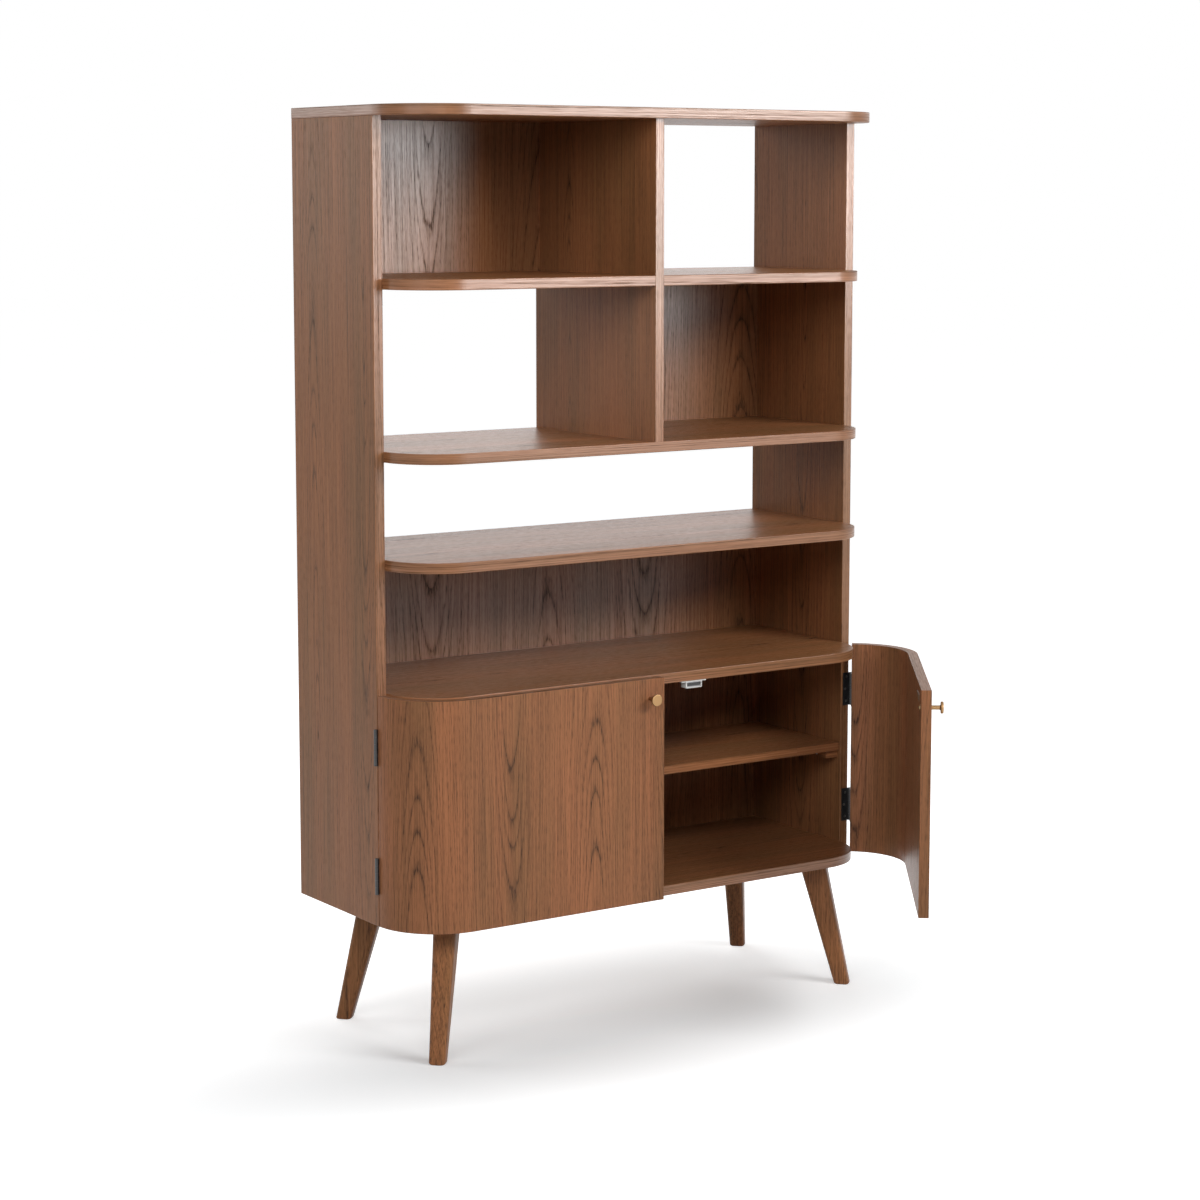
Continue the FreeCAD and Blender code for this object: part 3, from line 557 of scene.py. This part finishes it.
def make_plain(name, colour, roughness, metallic=0.0, grain=400.0, coat=0.0, squeeze=(1, 1, 1)):
    material, tree, shader = new_material(name)
    texture = tree.nodes.new("ShaderNodeGroup")
    texture.node_tree = fine_texture
    stretch = tree.nodes.new("ShaderNodeMapping")
    stretch.inputs["Scale"].default_value = squeeze
    tree.links.new(place_in_piece(tree), stretch.inputs["Vector"])
    tree.links.new(stretch.outputs[0], texture.inputs["Vector"])
    texture.inputs["Color"].default_value = colour
    texture.inputs["Roughness"].default_value = roughness
    texture.inputs["Grain"].default_value = grain
    tree.links.new(texture.outputs["Color"], shader.inputs["Base Color"])
    tree.links.new(texture.outputs["Roughness"], shader.inputs["Roughness"])
    shader.inputs["Metallic"].default_value = metallic
    shader.inputs["Coat Weight"].default_value = coat
    add_bump(tree, shader, texture.outputs["Height"], SPECK_DEPTH)
    return material


brass = make_plain("brass", (0.34, 0.203, 0.096, 1), 0.4, metallic=1.0, grain=900.0,
                   squeeze=KNOB_BRUSHING)
black_steel = make_plain("black_steel", (0.02, 0.02, 0.021, 1), 0.38, coat=0.2)
hinge_zinc = make_plain("hinge_zinc", (0.35, 0.34, 0.33, 1), 0.4, metallic=1.0)
zinc = make_plain("zinc", (0.62, 0.62, 0.64, 1), 0.3, metallic=1.0)
white_plastic = make_plain("white_plastic", (0.78, 0.77, 0.74, 1), 0.3)
ferrite = make_plain("ferrite", (0.03, 0.03, 0.03, 1), 0.6)
yellow_zinc = make_plain("yellow_zinc", (0.5, 0.37, 0.2, 1), 0.35, metallic=1.0)
brown_steel = make_plain("brown_steel", (0.14, 0.085, 0.045, 1), 0.4, coat=0.15)
print("metals and plastics ready")

# %% [markdown]
# ## Giving each piece its finish
#
# The finish goes into the piece's material slot. The list is read from the top, and the first word
# that is part of a piece's name decides. A name without any of the words belongs to a board.

# %% Finishes by name
FINISHES = [
    ("side_panel", side_veneer), ("centre_divider", divider_veneer), ("back_panel", back_veneer),
    ("left_door", left_door_veneer), ("right_door", right_door_veneer), ("_leg", leg_wood),
    ("shelf_cleat", cleat_wood), ("dowels", dowel_beech), ("hinge_door_screws", hinge_zinc),
    ("hinge_frame_screws", hinge_zinc), ("hinge", black_steel), ("knob_screw", yellow_zinc),
    ("strike_screws", yellow_zinc), ("_knob", brass), ("housing", white_plastic),
    ("magnets", ferrite), ("strike_plate", brown_steel), ("screws", zinc), ("studs", zinc),
    ("nuts", zinc), ("pole_plates", zinc),
]


def finish_for(name):
    for word, finish in FINISHES:
        if word in name:
            return finish
    return board_veneer


for name, piece in nodes.items():
    piece.data.materials.clear()
    piece.data.materials.append(finish_for(name))
print("finished:", len(nodes))

# %% [markdown]
# ## Floor and background
#
# A studio floor is white and runs on into a white background. Under the bookcase it is a real
# white surface, so it takes the bookcase's shadow. Away from it, across a soft oval edge, it also
# glows white for rays that come from the camera or off a shiny surface, so it meets the background
# without a horizon and puts no more light on the bookcase. The oval is painted shade: it sets
# where the shadow shows and how it fades to white. The shadow is real, but its outline is painted.

# %% Floor
FLOOR_SIZE = 60.0
FLOOR_WHITE = (0.785, 0.8, 0.81, 1)
FLOOR_GLOW = 0.155                    # in the middle of the oval; outside it the glow is 1
# The oval of painted shadow: the real shadow shows inside it and fades out as the glow rises.
PAINTED_SHADOW_MIDDLE = (-0.22, 0.04, 0.0)
PAINTED_SHADOW_REACH = (2.06, 0.69, 1.0)


def seen_ray(tree):
    """1 for rays from the camera, off a shiny surface or through a clear one, 0 for the others."""
    rays = tree.nodes.new("ShaderNodeLightPath")
    seen = calc(tree, "MAXIMUM", rays.outputs["Is Camera Ray"], rays.outputs["Is Glossy Ray"])
    return calc(tree, "MAXIMUM", seen, rays.outputs["Is Transmission Ray"])


def make_floor():
    bpy.ops.mesh.primitive_plane_add(size=FLOOR_SIZE, location=(0, 0, 0))
    floor = bpy.context.object
    floor.name = "studio_floor"
    material, tree, shader = new_material("studio_white")
    shader.inputs["Base Color"].default_value = FLOOR_WHITE
    shader.inputs["Roughness"].default_value = 1.0
    shader.inputs["Specular IOR Level"].default_value = 0.0
    shader.inputs["Emission Color"].default_value = (1, 1, 1, 1)
    oval = tree.nodes.new("ShaderNodeMapping")
    oval.vector_type = "TEXTURE"
    oval.inputs["Location"].default_value = PAINTED_SHADOW_MIDDLE
    oval.inputs["Scale"].default_value = PAINTED_SHADOW_REACH
    tree.links.new(place_in_piece(tree), oval.inputs["Vector"])
    distance = tree.nodes.new("ShaderNodeVectorMath")
    distance.operation = "LENGTH"
    tree.links.new(oval.outputs[0], distance.inputs[0])
    far = tree.nodes.new("ShaderNodeMapRange")
    far.interpolation_type = "SMOOTHSTEP"
    tree.links.new(distance.outputs["Value"], far.inputs["Value"])
    # The glow rises from the oval's middle to its edge, which paints the fading of the shadow.
    glow = plus(tree, FLOOR_GLOW, times(tree, far.outputs[0], 1.0 - FLOOR_GLOW))
    tree.links.new(times(tree, seen_ray(tree), glow), shader.inputs["Emission Strength"])
    floor.data.materials.append(material)


make_floor()
print("floor:", FLOOR_SIZE, "m")

# %% Background
def make_background():
    world = bpy.data.worlds.new("studio")
    bpy.context.scene.world = world
    world.use_nodes = True
    background = world.node_tree.nodes["Background"]
    background.inputs["Color"].default_value = (1, 1, 1, 1)
    world.node_tree.links.new(seen_ray(world.node_tree), background.inputs["Strength"])


make_background()
print("background: white")

# %% [markdown]
# ## Lamps
#
# The key box stands to the right of the front, above the middle. Weaker boxes fill in from the
# front, from the left and from behind. Large lamps give the soft, layered shadows of a studio.
#
# One more box is seen only in shiny reflections. It lies low and wide beside the key, so the satin
# lacquer carries a pale sheen along the upper front edges that fades downwards, and its light
# doesn't flatten the shadows. The key box and the rear box are the other way round: they light the
# wood and are left out of its reflections, so no shelf turns white when it is seen from behind.

# %% Lamps
AIM = Vector((0, 0, 1.0))


def add_soft_box(name, turn, distance, height, width, tall, power):
    """A soft box that faces the bookcase, turned from the front to the right by an angle."""
    data = bpy.data.lights.new(name, "AREA")
    data.shape = "RECTANGLE"
    data.size = width
    data.size_y = tall
    data.energy = power
    lamp = bpy.data.objects.new(name, data)
    bpy.context.scene.collection.objects.link(lamp)
    angle = math.radians(turn)
    lamp.location = (distance * math.sin(angle), -distance * math.cos(angle), height)
    lamp.rotation_euler = (AIM - lamp.location).to_track_quat("-Z", "Y").to_euler()
    return lamp


add_soft_box("sheen_box", 35, 3.4, 1.62, 2.1, 0.6, 105.0).visible_diffuse = False
add_soft_box("key_box", 28, 3.3, 2.6, 2.0, 1.0, 95.0).visible_glossy = False
add_soft_box("rear_box", 178, 4.0, 3.4, 2.4, 2.4, 50.0).visible_glossy = False
add_soft_box("front_box", 0, 3.6, 3.4, 1.6, 1.6, 10.0)
add_soft_box("left_front_box", -35, 4.0, 3.0, 2.0, 2.0, 54.0)
add_soft_box("left_box", -65, 4.0, 2.6, 2.0, 2.0, 41.0)
add_soft_box("left_rear_box", -140, 4.0, 2.2, 2.0, 2.0, 28.0)
add_soft_box("right_rear_box", 150, 4.0, 2.2, 2.0, 2.0, 14.0)
print("lamps:", len(bpy.data.lights))

# %% [markdown]
# ## Camera
#
# The camera stands to the left of the front at about head height and looks a little down. A small
# lens shift sets the bookcase in the middle of the picture without tipping the camera further.

# %% Camera
CAMERA_PLACE = (-2.9858, -4.1749, 1.5408)
CAMERA_TURN = (83.1889, -0.013, -34.1575)     # degrees about X, Y and Z
SENSOR_WIDTH = 36.0                           # millimetres, like the lens
LENS = 84.6374
LENS_SHIFT = -0.0583                          # part of the picture's width

camera_data = bpy.data.cameras.new("camera")
camera_data.sensor_width = SENSOR_WIDTH
camera_data.lens = LENS
camera_data.shift_y = LENS_SHIFT
camera = bpy.data.objects.new("camera", camera_data)
bpy.context.scene.collection.objects.link(camera)
camera.location = CAMERA_PLACE
camera.rotation_euler = [math.radians(angle) for angle in CAMERA_TURN]
bpy.context.scene.camera = camera
bpy.context.scene.view_settings.view_transform = "Standard"
print("camera:", LENS, "mm lens")
